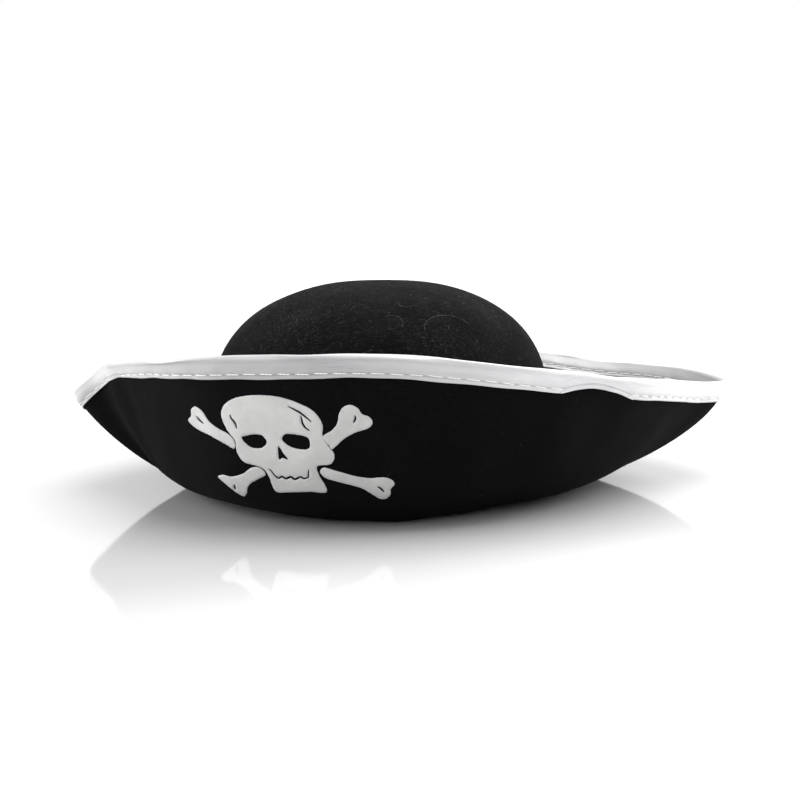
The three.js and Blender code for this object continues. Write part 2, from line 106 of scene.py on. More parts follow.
FILM = 0.2  # thickness of the print
FILM_AIR = 0.02  # between the print and the felt
FLAP_ANGLES = (196, 292)  # plan angles that the front flap with the print covers
FILL_STEP = 1.1  # distance of the mesh points inside the print
BAND_FOOT = 7.0
BAND_WIDTH = 22.0
BAND = 0.6
WALL_AIR = 0.35  # between the crown's wall and what is sewn to it
BAND_SEAM = 2.5  # height of the sweatband's seam over its foot
LABEL_ANGLES = (81, 99)
LABEL_LOW, LABEL_HIGH = 9, 39
FUZZ_FOOT = 4  # no hairs under this height, so that none reaches into the floor
MASK_HALF = (92, 97)  # half width and depth of the felt that looks like the crown

CAMERA_DISTANCE = 1000.0
CAMERA_ELEVATION = 8.5
CAMERA_ROLL = 1.2
CAMERA_LENS = 85.7
CAMERA_AIM = (10.4, 6.4, 42.9)  # from the middle of the head opening

CENTRE = np.mean(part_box("sweatband"), axis=0) * (1, 1, 0) / MM  # the head opening's middle

random = np.random.default_rng(7)


# ---- The hat's surface ----

def wrapped(angles, middle):
    """Angles from `middle`, between -180 and 180 degrees."""
    return (angles - middle + 180) % 360 - 180


def bell(value, middle, width):
    return np.exp(-((value - middle) / width) ** 2)


def station(table, angles):
    """Smooth values at plan angles, between the stations of a table keyed by angle."""
    keys = np.array(sorted(table), float)
    values = np.array([table[key] for key in sorted(table)], float)
    keys = np.concatenate([[keys[-1] - 360], keys, [keys[0] + 360]])
    values = np.concatenate([values[-1:], values, values[:1]])
    at = np.mod(angles, 360)
    low = np.clip(np.searchsorted(keys, at, side="right") - 1, 0, len(keys) - 2)
    t = (at - keys[low]) / (keys[low + 1] - keys[low])
    t = t * t * (3 - 2 * t)
    return values[low] * (1 - t) + values[low + 1] * t


def catmull_loop(points, steps):
    """Closed centripetal Catmull-Rom curve through points, with steps per span."""
    p = np.array(points, float)
    t = np.linspace(0, 1, steps, endpoint=False)[:, None]
    out = []
    for i in range(len(p)):
        a, b, c, d = (p[(i + k) % len(p)] for k in (-1, 0, 1, 2))
        before, span, after = (math.sqrt(np.linalg.norm(v)) for v in (b - a, c - b, d - c))
        leave = ((b - a) / before - (c - a) / (before + span) + (c - b) / span) * span
        arrive = ((c - b) / span - (d - b) / (span + after) + (d - c) / after) * span
        out.append((2 * b - 2 * c + leave + arrive) * t ** 3
                   + (3 * c - 3 * b - 2 * leave - arrive) * t ** 2 + leave * t + b)
    return np.concatenate(out)


def run_length(line):
    """Distance along a line of points, from its first point."""
    return np.concatenate([[0], np.cumsum(np.linalg.norm(np.diff(line, axis=0), axis=1))])


def along_line(at, run, line):
    """Points of a line at the places `at`, where `run` holds the place of each of its points."""
    return np.stack([np.interp(at, run, line[:, k]) for k in range(line.shape[1])], -1)


def edge_table():
    """The brim's edge as plan angles in order and the points there, with one turn of overlap."""
    points = catmull_loop(EDGE, 80)
    angles = np.degrees(np.arctan2(points[:, 1], points[:, 0])) % 360
    order = np.argsort(angles)
    angles, points = angles[order], points[order]
    angles = np.concatenate([angles[-1:] - 360, angles, angles[:1] + 360])
    return angles, np.concatenate([points[-1:], points, points[:1]])


EDGE_ANGLES, EDGE_POINTS = edge_table()


def crown_radius(angles, inset=0.0):
    a, b = CROWN_HALF_WIDTH - inset, CROWN_HALF_DEPTH - inset
    turn = np.radians(angles)
    return a * b / np.hypot(b * np.cos(turn), a * np.sin(turn))


def polar(angles, radius, z):
    turn = np.radians(angles)
    return np.stack(np.broadcast_arrays(radius * np.cos(turn), radius * np.sin(turn), z), -1)


def base_height(angles):
    return FELT / 2 + station(RIM_LIFT, angles)


def brim_controls(angles):
    """The four control points of the brim's curve at each plan angle."""
    foot = polar(angles, crown_radius(angles, WALL_TAPER) + ROLL + RIM_FLAT, base_height(angles))
    edge = along_line(np.mod(angles, 360), EDGE_ANGLES, EDGE_POINTS)
    size = np.linalg.norm(edge - foot, axis=-1, keepdims=True)

    def slope(table, pull):
        rise = np.radians(station(table, angles))
        return polar(angles, np.cos(rise), np.sin(rise)) * size * station(pull, angles)[..., None]

    return foot, foot + slope(BASE_SLOPE, BASE_PULL), edge - slope(EDGE_SLOPE, EDGE_PULL), edge


def bezier(controls, t):
    a, b, c, d = (point[:, None, :] for point in controls)
    t = t[..., None]
    return (1 - t) ** 3 * a + 3 * (1 - t) ** 2 * t * b + 3 * (1 - t) * t * t * c + t ** 3 * d


def brim_lengths(angles, steps=64):
    """Distances from the edge of evenly spaced curve parameters, edge last."""
    t = np.broadcast_to(np.linspace(0, 1, steps + 1), (len(angles), steps + 1))
    line = bezier(brim_controls(angles), t)
    runs = np.linalg.norm(np.diff(line, axis=1), axis=2)
    back = np.concatenate([np.cumsum(runs[:, ::-1], 1)[:, ::-1], np.zeros((len(angles), 1))], 1)
    return t, back


def brim_points(angles, back):
    """Middle of the felt `back` mm from the edge, for each angle and each of its distances."""
    t, reach = brim_lengths(angles)
    at = np.stack([np.interp(-b, -r, row) for b, r, row in zip(back, reach, t)])
    return bezier(brim_controls(angles), at)


def unit(vectors):
    return vectors / np.maximum(np.linalg.norm(vectors, axis=-1, keepdims=True), 1e-12)


def brim_sway(angles, back):
    """Small hand-made unevenness of the flaps, in mm out of the underside."""
    turn = np.radians(angles)[:, None]
    fade = np.exp(-back / 60.0)
    broad = 0.5 * np.sin(5 * turn + 0.6) + 0.35 * np.sin(11 * turn + 2.1 + back / 25.0)
    return fade * (broad + 0.12 * np.sin(23 * turn + back / 9.0))


def brim_skin(angles, back, off):
    """Points `off` mm out of the brim's underside, and the normals there."""
    turn, step = 0.3, 0.4  # degrees and mm between the points that give the normal
    outward = brim_points(angles, np.maximum(back - step, 0)) - brim_points(angles, back + step)
    around = brim_points(angles + turn, back) - brim_points(angles - turn, back)
    normal = unit(np.cross(around, outward))
    points = brim_points(angles, back)
    return points + normal * (off + brim_sway(angles, back))[..., None], normal


def brim_length(angles):
    return brim_lengths(angles)[1][:, 0]


def dome(angles, u):
    """Middle of the felt on the dome, where u runs from 0 at the top to a quarter turn at the wall."""
    rise = max(math.cos(u), 0.0) ** (2 / CROWN_POWER)
    z = CROWN_SHOULDER + (CROWN_HEIGHT - CROWN_SHOULDER) * rise
    return polar(angles, crown_radius(angles) * math.sin(u) ** (2 / CROWN_POWER), z)


def crown_rows(angles):
    """Middle of the felt from just under the crown's top to the flat ring, as (column, row, 3)."""
    rows = [dome(angles, i / DOME_ROWS * math.pi / 2) for i in range(1, DOME_ROWS + 1)]
    base = base_height(angles)
    for i in range(1, WALL_ROWS + 1):
        t = i / WALL_ROWS
        z = CROWN_SHOULDER + (base + ROLL - CROWN_SHOULDER) * t
        rows.append(polar(angles, crown_radius(angles, WALL_TAPER * t), z))
    for i in range(1, ROLL_ROWS + 1):
        u = i / ROLL_ROWS * math.pi / 2
        radius = crown_radius(angles, WALL_TAPER) + ROLL * (1 - math.cos(u))
        rows.append(polar(angles, radius, base + ROLL - ROLL * math.sin(u)))
    return np.stack(rows, 1)


def crown_sway(points):
    """Small unevenness of the blocked crown, in mm inwards."""
    x, y, z = (points[..., k] for k in range(3))
    rise = np.clip(z / CROWN_SHOULDER, 0, 1)
    broad = 0.35 * np.sin(x / 23 + 1.3) * np.cos(y / 31)
    return rise * (broad + 0.2 * np.sin(x / 9 + z / 14) * np.sin(y / 12))


def crown_skin(angles):
    """Middle points of the crown and their normals, which point into the head."""
    points = crown_rows(angles)
    top = np.broadcast_to([0, 0, CROWN_HEIGHT], points[:, :1].shape)
    foot = points[:, -1:] + polar(angles, 1.0, 0.0)[:, None]
    line = np.concatenate([top, points, foot], 1)
    down = line[:, 2:] - line[:, :-2]
    normal = unit(np.cross(polar(angles + 90, 1.0, 0.0)[:, None], down))
    normal[:, -1] = (0, 0, -1)
    return points + normal * crown_sway(points)[..., None], normal


def columns(count):
    """Plan angles round the hat, closer together at its points."""
    fine = np.linspace(0, 360, 3601)
    weight = np.ones_like(fine)
    for tip in TIPS:
        weight += 2.5 * bell(wrapped(fine, tip), 0, 7.0)
    total = np.concatenate([[0], np.cumsum((weight[1:] + weight[:-1]) / 2)])
    return np.interp(np.linspace(0, total[-1], count, endpoint=False), total, fine)


# ---- Meshes ----

def add_object(name, data):
    item = bpy.data.objects.new(name, data)
    bpy.context.scene.collection.objects.link(item)
    return item


def add_piece(name, points, faces, material):
    """A closed piece of the hat, from points in mm round the head opening's middle."""
    mesh = bpy.data.meshes.new(name)
    mesh.from_pydata(((points + CENTRE) * MM).tolist(), [], faces)
    work = bmesh.new()
    work.from_mesh(mesh)
    bmesh.ops.recalc_face_normals(work, faces=work.faces)
    work.to_mesh(mesh)
    work.free()
    mesh.polygons.foreach_set("use_smooth", [True] * len(mesh.polygons))
    mesh.materials.append(material)
    piece = add_object(name, mesh)
    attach(piece, "root")
    return piece


def grid_faces(rows, cols, wrap_rows=False, wrap_cols=True, start=0):
    """Quads of a grid of points that is stored row by row."""
    r = np.arange(rows if wrap_rows else rows - 1)
    c = np.arange(cols if wrap_cols else cols - 1)
    r, c = np.meshgrid(r, c, indexing="ij")
    r2, c2 = (r + 1) % rows, (c + 1) % cols
    quads = np.stack([r * cols + c, r * cols + c2, r2 * cols + c2, r2 * cols + c], -1)
    return (quads.reshape(-1, 4) + start).tolist()


def set_uv(piece, values):
    """UV map from one pair of numbers per vertex."""
    layer = piece.data.uv_layers.new(name="cloth")
    loops = np.empty(len(piece.data.loops), int)
    piece.data.loops.foreach_get("vertex_index", loops)
    layer.data.foreach_set("uv", values[loops].ravel())


def felt_body(material):
    """Crown and brim, one piece of felt with two skins that meet at the edge."""
    angles = columns(FELT_COLUMNS)
    crown, crown_normal = crown_skin(angles)
    back = brim_length(angles)[:, None] * np.linspace(1, 0, BRIM_ROWS)
    brim, brim_normal = brim_skin(angles, back, np.zeros_like(back))
    middle = np.concatenate([crown, brim], 1)
    normal = np.concatenate([crown_normal, brim_normal], 1)
    outer = (middle - normal * FELT / 2).transpose(1, 0, 2)
    inner = (middle + normal * FELT / 2).transpose(1, 0, 2)[::-1]
    edge = middle[:, -1] + EDGE_BULGE * unit(middle[:, -1] - middle[:, -2])
    rings = np.concatenate([outer, edge[None], inner])
    faces = grid_faces(len(rings), FELT_COLUMNS)
    points = rings.reshape(-1, 3)
    points[:, 2] = np.maximum(points[:, 2], 0)  # the foot rests on the floor
    poles = np.array([[0, 0, CROWN_HEIGHT + FELT / 2], [0, 0, CROWN_HEIGHT - FELT / 2]])
    top, under = len(points), len(points) + 1
    last = len(points) - FELT_COLUMNS
    for i in range(FELT_COLUMNS):
        j = (i + 1) % FELT_COLUMNS
        faces.append([top, j, i])
        faces.append([under, last + i, last + j])
    piece = add_piece("felt_hat", np.concatenate([points, poles]), faces, material)
    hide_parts("felt_body")
    return piece


# ---- Ribbon ----

def hem_distance(angles):
    """How far the outer hem is from the edge: ridden up where the ribbon has curled."""
    turn = np.radians(angles)
    even = RIBBON_SIDE + 0.22 * np.sin(9 * turn + 0.5) + 0.12 * np.sin(31 * turn)
    along = wrapped(angles, CURL_PEAK)
    rise, fall = CURL_PEAK - CURL_START, CURL_END - CURL_PEAK
    bump = np.clip(np.where(along < 0, 1 + along / rise, 1 - along / fall), 0, 1)
    corner = 1.5 * bell(wrapped(angles, CORNER_ANGLE), 0, 9.0)
    return even - corner - CURL_DEPTH * np.sin(bump * math.pi / 2) ** 1.4


def ribbon_height(angles, back, side):
    """Height of the ribbon's outer face over the felt's middle, on one side of the brim."""
    turn = np.radians(angles)[:, None]
    arc = turn * EDGE_RADIUS
    swell = 0.42 * bell(back, 4.6, 3.0)
    flare = 0.3 * bell(back, RIBBON_SIDE, 0.9)
    beat = 0.5 + 0.5 * np.cos(arc * 2 * math.pi / STITCH_PITCH)
    seam = -0.2 * bell(back, SEAM, 0.8)
    pucker = 0.16 * beat * bell(back, SEAM, 2.2)
    drag = 0.1 * np.sin(arc / 2.9 + back * 0.5 + side) * bell(back, 6.0, 3.5)
    wander = 0.14 * np.sin(arc / 17.0 + 2 * side) * np.sin(arc / 7.3 + back / 4.0)
    return FELT / 2 + RIBBON_AIR + RIBBON + swell + flare + seam + pucker + drag + wander


def ribbon_section(angles, extra=0.0):
    """Outer and inner skin of the folded ribbon, each (column, point, 3)."""
    leg, fold = 13, 9  # points down each side and round the fold
    out_share = np.linspace(1, 0, leg)
    hem = hem_distance(angles)[:, None] * out_share
    inner_hem = np.broadcast_to(RIBBON_INNER_SIDE * out_share, hem.shape)
    zero = np.zeros((len(angles), 1))
    edge, normal = brim_skin(angles, zero, zero)
    outward = unit(edge - brim_points(angles, zero + 1.0))
    phi = np.linspace(0, math.pi, fold + 2)[1:-1, None]
    skins = []
    for depth in (0.0, RIBBON):
        outer = brim_skin(angles, hem, ribbon_height(angles, hem, 0) + extra - depth)[0]
        inner = brim_skin(angles, inner_hem, -(ribbon_height(angles, inner_hem, 1) + extra - depth))[0]
        top = (ribbon_height(angles, zero, 0) + extra - depth)[..., None]
        turn = edge + normal * top * np.cos(phi) + outward * (top + FOLD_EASE) * np.sin(phi)
        skins.append(np.concatenate([outer, turn, inner[:, ::-1]], 1))
    return skins


def strip_mesh(skins, closed):
    """Points and faces of a thin strip: its two skins joined along the hems."""
    outer, inner = skins
    loop = np.concatenate([outer, inner[:, ::-1]], 1)
    count, around = loop.shape[:2]
    faces = grid_faces(count, around, wrap_rows=closed)
    if not closed:
        last = (count - 1) * around
        half = around // 2
        for start, order in ((0, 1), (last, -1)):
            for k in range(half - 1):
                quad = [start + k, start + k + 1, start + around - 2 - k, start + around - 1 - k]
                faces.append(quad[::order])
    return loop.reshape(-1, 3), faces


def strip_uv(skins):
    """Metres along and across a strip, for its weave."""
    outer = skins[0]
    along = run_length(outer.mean(1))
    steps = np.linalg.norm(np.diff(outer, axis=1), axis=2)
    across = np.concatenate([np.zeros((len(outer), 1)), np.cumsum(steps, 1)], 1)
    across = np.concatenate([across, across[:, ::-1]], 1)
    return np.stack(np.broadcast_arrays(along[:, None], across), -1).reshape(-1, 2) * MM


def add_strip(name, skins, closed, material):
    piece = add_piece(name, *strip_mesh(skins, closed), material)
    set_uv(piece, strip_uv(skins))
    return piece


def edge_ribbon(material):
    """Satin ribbon folded over the whole edge, and the end that laps over its start."""
    ribbon = add_strip("edge_ribbon_satin", ribbon_section(columns(RIBBON_COLUMNS)), True, material)
    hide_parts("edge_ribbon")
    lap = ribbon_section(np.linspace(*LAP_ANGLES, 40), extra=RIBBON + LAP_AIR)
    end = add_strip("edge_ribbon_lap", lap, False, material)
    curled_hem(material)


def curled_hem(material):
    """The strip of hem that has turned outwards and up where the ribbon is curled."""
    share = np.linspace(0.02, 0.98, 60)
    angles = CURL_START + share * (CURL_END - CURL_START)
    hem = hem_distance(angles)[:, None]
    under, thick = 0.15, 0.3  # how far the strip starts below the hem, and its thickness
    arch = np.sin(share * math.pi)[:, None]
    width = 0.25 + 2.1 * arch ** 0.8
    across = np.linspace(0, 1, 9)
    back = hem + under - across * width
    puff = 0.32 + 0.38 * np.sin(across * math.pi) ** 0.7 * arch
    over = ribbon_height(angles, hem * np.ones_like(across), 0) - 0.1
    skins = [brim_skin(angles, back, over + puff)[0], brim_skin(angles, back, over + puff - thick)[0]]
    piece = add_strip("edge_ribbon_curl", skins, False, material)


# ---- Stitches ----

def tube(path, radius, sides):
    """Rings of points round a path, with a radius for each point of it."""
    along = unit(np.gradient(path, axis=0))
    side = unit(np.cross(along, [0.31, 0.17, 0.93]))
    up = np.cross(along, side)
    turn = np.linspace(0, 2 * math.pi, sides, endpoint=False)[:, None]
    ring = side[:, None] * np.cos(turn) + up[:, None] * np.sin(turn)
    return path[:, None] + ring * radius[:, None, None]


def add_tubes(name, tubes, material):
    """One piece of many closed tubes."""
    points, faces, start = [], [], 0
    for rings in tubes:
        count, sides = rings.shape[:2]
        points.append(rings.reshape(-1, 3))
        faces += grid_faces(count, sides, start=start)
        faces.append(list(range(start, start + sides))[::-1])
        faces.append(list(range(start + (count - 1) * sides, start + count * sides)))
        start += count * sides
    return add_piece(name, np.concatenate(points), faces, material)


def seam_starts(side):
    """Where stitches start along the seam, and the seam's length up to each of many plan angles."""
    fine = np.linspace(0, 360, 2881)
    run = run_length(brim_points(fine, np.full((len(fine), 1), SEAM))[:, 0])
    count = round(run[-1] / STITCH_PITCH)
    pitch = run[-1] / count
    starts = (np.arange(count) + (0.5 if side else 0.0)) * pitch
    return starts, run, fine


def stitch_row(side):
    """Two-ply stitches along the seam: side 0 is the outer face of the ribbon, 1 the inner face."""
    starts, run, fine = seam_starts(side)
    steps = 13
    share = np.linspace(0, 1, steps)
    rise = np.sin(share * math.pi) ** 0.35 * 0.42 - 0.22  # both ends dip into the satin
    tubes = []
    for start in starts:
        size = STITCH_LENGTH * random.uniform(0.93, 1.04)
        drift = random.normal(0, 0.1)
        angles = np.interp((start + share * size) % run[-1], run, fine)
        if side == 0 and hem_distance(angles.mean()) < SEAM + 0.9:
            continue  # the hem has ridden up over the seam
        back = np.full((steps, 1), SEAM) + drift + 0.25 * (share[:, None] - 0.5)
        off = (1, -1)[side] * (ribbon_height(angles, back, side) + rise[:, None])
        line, normal = brim_skin(angles, back, off)
        line, normal = line[:, 0], normal[:, 0]
        across = unit(np.cross(unit(np.gradient(line, axis=0)), normal))
        for ply in (0, math.pi):
            twist = ply + share * size * 1.9
            centre = line + PLY_RADIUS * 0.75 * (across * np.cos(twist)[:, None]
                                                 + normal * np.sin(twist)[:, None])
            tubes.append(tube(centre, np.full(steps, PLY_RADIUS), 6))
    return tubes


def stitches(material):
    for side, name, node in ((0, "needle_stitches", "stitch_needle_thread"),
                             (1, "bobbin_stitches", "stitch_bobbin_thread")):
        piece = add_tubes(name, stitch_row(side), material)
        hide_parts(node)


# ---- Print: outlines in the front view as x and z from the head opening's middle ----

SKULL = [
    (-72.4, 55.5), (-71, 60), (-66.5, 63.4), (-57.5, 65.5), (-46, 65.4), (-36, 62.6), (-28.5, 58.4),
    (-25, 52.5), (-25.1, 47), (-22.5, 42.4), (-20, 38.3), (-21.5, 34.1), (-28.2, 32.6), (-27.3, 28),
    (-24.8, 23), (-24.4, 19.5), (-32, 19.5), (-41, 19), (-47.8, 18.8), (-49.6, 22), (-50.7, 26.3),
    (-53.2, 30.4), (-57.5, 32.1), (-62.5, 33.4), (-65.6, 38), (-66.1, 43.2), (-70, 48.6),
]
LEFT_EYE = [(-63, 45.3), (-61, 46.2), (-58, 47), (-53.4, 46.9), (-51.1, 44), (-52.4, 41.6), (-54.9, 40.5),
            (-59.2, 41.1)]
RIGHT_EYE = [(-43.9, 45.2), (-43, 47.4), (-41.4, 48), (-32, 46.5), (-31, 44), (-31.3, 41.6), (-33, 40.8),
             (-39.4, 41.6)]
NOSE = [(-45.7, 42), (-43.6, 38.8), (-41.4, 35.6), (-44.1, 36.3), (-45.4, 35.4), (-46, 39)]
MOUTH = [
    (-50.7, 30.6), (-49.4, 29.5), (-48.3, 27.7), (-46.4, 26), (-44.7, 27.2), (-43, 26),
    (-40.5, 27.2), (-38.8, 25.8), (-36.1, 27.3), (-34.4, 26.4), (-32.5, 27), (-32.1, 31),
]
CRACK_WIDTH = 0.95
MOUTH_WIDTH = 1.05
CRACKS = [
    [(-40.6, 61), (-37.8, 59.6), (-34.9, 58), (-32.4, 56), (-30, 53.9)],
    [(-34.8, 56.8), (-34.4, 54.8), (-34.1, 53), (-33, 51.2), (-31, 49.7)],
    [(-68, 55.8), (-67.6, 54), (-66.3, 52.7), (-65.4, 51.1), (-65.3, 49.3)],
]
BONES = {
    "upper_left": (
        [(-87.8, 56), (-88, 53), (-89.8, 50.4), (-86.4, 47.4), (-78.6, 44.7), (-70.5, 41.2),
         (-67, 39.6), (-66.1, 41.2), (-67.1, 44.2), (-69.3, 46.4), (-74.5, 48.8), (-78.6, 51.6),
         (-82.2, 56.4), (-85.6, 58)],
        [(-85, 53.3), (-83.5, 51.5), (-81.6, 50.1)]),
    "upper_right": (
        [(-24.9, 47), (-20.8, 50), (-18.4, 53), (-17.2, 58), (-15, 61), (-11.8, 61.8), (-8.6, 60),
         (-7, 57.6), (-3.6, 56), (-2.2, 53.6), (-4, 51), (-10, 49), (-15.6, 45.8), (-19.6, 42),
         (-21.2, 41), (-22.4, 42.8)],
        [(-10.1, 56.9), (-9.9, 55.3), (-10.9, 53.4)]),
    "lower_left": (
        [(-76, 24.2), (-73.8, 25.5), (-69, 25.3), (-63, 27.6), (-59.6, 30.4), (-56.8, 31.3),
         (-54, 30.3), (-52.4, 27.8), (-56.4, 25), (-60.3, 22.2), (-61.8, 19.6), (-62.4, 16.6),
         (-64, 14.7), (-67.6, 16.6), (-72.4, 20.6)],
        [(-68, 21.1), (-68.1, 19.4), (-67.6, 18.3)]),
    "lower_right": (
        [(-26.9, 30), (-25.4, 32), (-19, 30.3), (-10, 27.6), (-4, 26.7), (2.5, 27), (6, 25.6),
         (7.1, 23.6), (5.2, 20.6), (5.2, 18.4), (3.6, 16.1), (0.6, 15.6), (-3, 18), (-7.5, 21.3),
         (-18.6, 24.9), (-24.6, 27)],
        [(-0.8, 22.4), (0.8, 21.3), (2.2, 19.4)]),
}


def smooth_outline(points, step=0.6):
    """Closed outline through points, with a small raggedness like ink on felt."""
    fine = catmull_loop(points, 24)
    closed = np.vstack([fine, fine[:1]])
    run = run_length(closed)
    at = np.linspace(0, run[-1], max(int(run[-1] / step), 8), endpoint=False)
    even = along_line(at, run, closed)
    return even + random.normal(0, 0.05, even.shape)


def slit(points, width):
    """Closed outline of a thin line through points, tapered to its ends."""
    line = np.array(points, float)
    run = run_length(line)
    fine = along_line(np.linspace(0, run[-1], max(int(run[-1] / 0.5), 3)), run, line)
    along = unit(np.gradient(fine, axis=0))
    side = np.stack([-along[:, 1], along[:, 0]], -1)
    taper = 0.35 + 0.65 * np.sin(np.linspace(0.12, math.pi - 0.12, len(fine)))
    half = width / 2 * taper[:, None]
    return np.concatenate([fine + side * half, (fine - side * half)[::-1]])


def flap_surface(off):
    """Ray target: the outer face of the front flap, `off` mm over the felt."""
    angles = np.arange(*FLAP_ANGLES, 0.5)
    share = np.linspace(0.11, 0.985, 110)  # from under the ribbon to close to the foot
    back = brim_length(angles)[:, None] * share
    points = brim_skin(angles, back, np.full_like(back, FELT / 2 + off))[0]
    faces = grid_faces(len(angles), len(share), wrap_cols=False)
    return BVHTree.FromPolygons(points.reshape(-1, 3).tolist(), faces)


def inside(points, loops):
    """Even-odd test of points against closed loops."""
    hit = np.zeros(len(points), bool)
    for loop in loops:
        for (ax, ay), (bx, by) in zip(loop, np.roll(loop, -1, 0)):
            if ay != by:
                cross = (ay > points[:, 1]) != (by > points[:, 1])
                hit ^= cross & (points[:, 0] < (bx - ax) * (points[:, 1] - ay) / (by - ay) + ax)
    return hit


def filling(loops):
    """Scattered points inside the outlines and clear of their lines."""
    jitter, clear = 0.25, 0.45
    lines = np.concatenate(loops)
    low, high = lines.min(0), lines.max(0)
    xs, zs = np.meshgrid(np.arange(low[0], high[0], FILL_STEP), np.arange(low[1], high[1], FILL_STEP))
    fill = np.stack([xs.ravel(), zs.ravel()], -1) + random.uniform(-jitter, jitter, (xs.size, 2))
    fill = fill[inside(fill, loops)]
    gap = np.min(np.linalg.norm(fill[:, None] - lines[None], axis=2), axis=1)
    return fill[gap > clear]


def flat_film(loops):
    """Points and triangles of the area between the outlines, flat in the front view."""
    links, start = [], 0
    for loop in loops:
        size = len(loop)
        links += [(start + i, start + (i + 1) % size) for i in range(size)]
        start += size
    flat = [Vector(p) for p in np.concatenate([*loops, filling(loops)]).tolist()]
    verts, _, faces, *_ = geometry.delaunay_2d_cdt(flat, links, [], 0, 1e-5)
    flat = np.array([tuple(v) for v in verts])
    faces = np.array(faces)
    faces = faces[inside(flat[faces].mean(1), loops)]
    used, index = np.unique(faces, return_inverse=True)
    return flat[used], index.reshape(faces.shape)


def film(name, loops, surfaces, material, node):
    """A printed layer: the area between the outlines, pressed back onto the flap."""
    flat, faces = flat_film(loops)
    count = len(flat)
    closed = faces.tolist() + (faces[:, ::-1] + count).tolist()
    closed += [[a, a + count, b + count, b] for a, b in border(faces)]
    points = np.concatenate([press(flat, surface) for surface in surfaces])
    piece = add_piece(name, points, closed, material)
    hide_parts(node)


def press(flat, surface):
    """Points of the front view moved straight back onto a surface."""
    before, back = -400.0, Vector((0, 1, 0))
    return np.array([tuple(surface.ray_cast(Vector((x, before, z)), back)[0]) for x, z in flat])


def border(faces):
    """Directed edges that belong to one triangle only."""
    edges = {(int(a), int(b)) for f in faces for a, b in zip(f, np.roll(f, -1))}
    return [(a, b) for a, b in edges if (b, a) not in edges]


def prints(material):
    surfaces = (flap_surface(FILM), flap_surface(FILM_AIR))
    holes = [smooth_outline(LEFT_EYE), smooth_outline(RIGHT_EYE), smooth_outline(NOSE, 0.4)]
    holes += [slit(crack, CRACK_WIDTH) for crack in CRACKS] + [slit(MOUTH, MOUTH_WIDTH)]
    film("skull_print", [smooth_outline(SKULL)] + holes, surfaces, material, "print_skull")
    for name, (outline, mark) in BONES.items():
        loops = [smooth_outline(outline), slit(mark, CRACK_WIDTH)]
        film(f"bone_print_{name}", loops, surfaces, material, f"print_bone_{name}")


# ---- Inside of the head opening ----

def wall_skin(angles, up, inset):
    """Points inside the crown's wall: `up` mm over the band's foot, `inset` mm from the felt's middle."""
    angles = angles[:, None]
    low = base_height(angles) + ROLL
    z = BAND_FOOT + station(RIM_LIFT, angles) + up
    share = np.clip((CROWN_SHOULDER - z) / (CROWN_SHOULDER - low), 0, 1)
    return polar(angles, crown_radius(angles, WALL_TAPER * share) - inset, z)


def sweatband(material, thread):
    """Woven tape round the head opening, slightly gathered, and its row of black stitches."""
    angles = np.linspace(0, 360, 480, endpoint=False)
    up = np.broadcast_to(np.linspace(0, BAND_WIDTH, 15), (len(angles), 15))
    turn, share = np.radians(angles)[:, None], up / BAND_WIDTH
    gather = 0.12 * np.sin(turn * 37 + up / 5) + 0.12 * np.sin(turn * 91)
    face = FELT / 2 + WALL_AIR + gather * share + 0.35 * share ** 2
    skins = [wall_skin(angles, up, face + BAND), wall_skin(angles, up, face)]
    band = add_strip("sweatband_tape", skins, True, material)
    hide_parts("sweatband")
    pitch, length, steps = 3.2, 2.2, 7  # of the stitches: two in degrees, and the points of each
    rise = 0.3 * np.sin(np.linspace(0, math.pi, steps)) ** 0.5 - 0.05
    inset = (FELT / 2 + WALL_AIR + BAND + rise)[:, None]
    tubes = []
    for start in np.arange(0, 360, pitch):
        line = wall_skin(start + np.linspace(0, length, steps), BAND_SEAM, inset)[:, 0]
        tubes.append(tube(line, np.full(steps, 0.2), 6))
    piece = add_tubes("sweatband_stitches", tubes, thread)
    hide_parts("sweatband_thread")


def care_label(material):
    """Blank label, caught under the sweatband and curling a little away from the crown."""
    angles = np.linspace(*LABEL_ANGLES, 24)
    up = np.broadcast_to(np.linspace(LABEL_LOW, LABEL_HIGH, 26), (24, 26))
    share = (up - LABEL_LOW) / (LABEL_HIGH - LABEL_LOW)
    curl = 0.9 * share ** 2 + 0.2 * np.sin(np.radians(angles)[:, None] * 60)
    clear, thick = 0.5, 0.3
    face = FELT / 2 + WALL_AIR + BAND + clear + curl * 0.5
    skins = [wall_skin(angles, up, face + thick), wall_skin(angles, up, face)]
    piece = add_piece("blank_label", *strip_mesh(skins, closed=False), material)
    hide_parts("care_label")


# ---- Loose fibres ----

def crown_spot(angle, height_share):
    """Outer face of the crown at a plan angle, and a share of the way from its foot to its top."""
    point = dome(angle, (1 - height_share) * math.pi / 2)
    normal = point * np.array([1 / CROWN_HALF_WIDTH ** 2, 1 / CROWN_HALF_DEPTH ** 2, 0])
    normal[2] = (point[2] - CROWN_SHOULDER) / (CROWN_HEIGHT - CROWN_SHOULDER) ** 2
    normal = unit(normal)
    return point + normal * FELT / 2, normal


